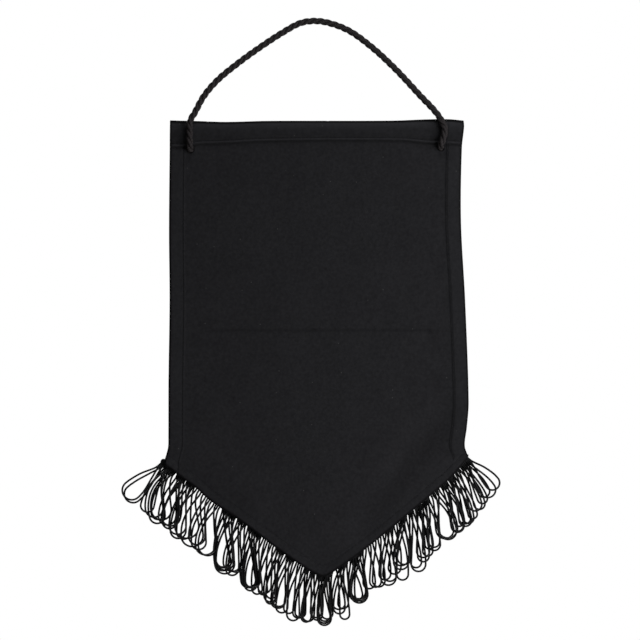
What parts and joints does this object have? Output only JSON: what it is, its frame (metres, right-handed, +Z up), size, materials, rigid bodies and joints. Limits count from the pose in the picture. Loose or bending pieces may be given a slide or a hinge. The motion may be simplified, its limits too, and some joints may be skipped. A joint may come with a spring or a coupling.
{
  "type": "wall banner",
  "caption": "Plain pointed felt banner with a folded top band, turned hems, a twisted hanging cord and a looped yarn fringe along its pointed lower edge; hangs from one hook",
  "frame": {"origin": "the underside of the hanging cord at its highest point, where a hook or nail carries the banner", "axes": "+Z up along the hanging banner, +X to the right as seen from the front, +Y to the back, towards the wall, so the front of the cloth faces -Y"},
  "size_m": [0.2972, 0.0182, 0.4755],
  "materials": {
    "felt_cotton": "matt felted cotton",
    "cord_cotton": "matt twisted cotton cord",
    "fringe_yarn": "soft mercerised yarn"
  },
  "bodies": {
    "root": {"panel": "felt_cotton", "hanging_cord": "cord_cotton", "cord_knot_left": "cord_cotton", "cord_knot_right": "cord_cotton", "fringe": "fringe_yarn"}
  },
  "joints": []
}
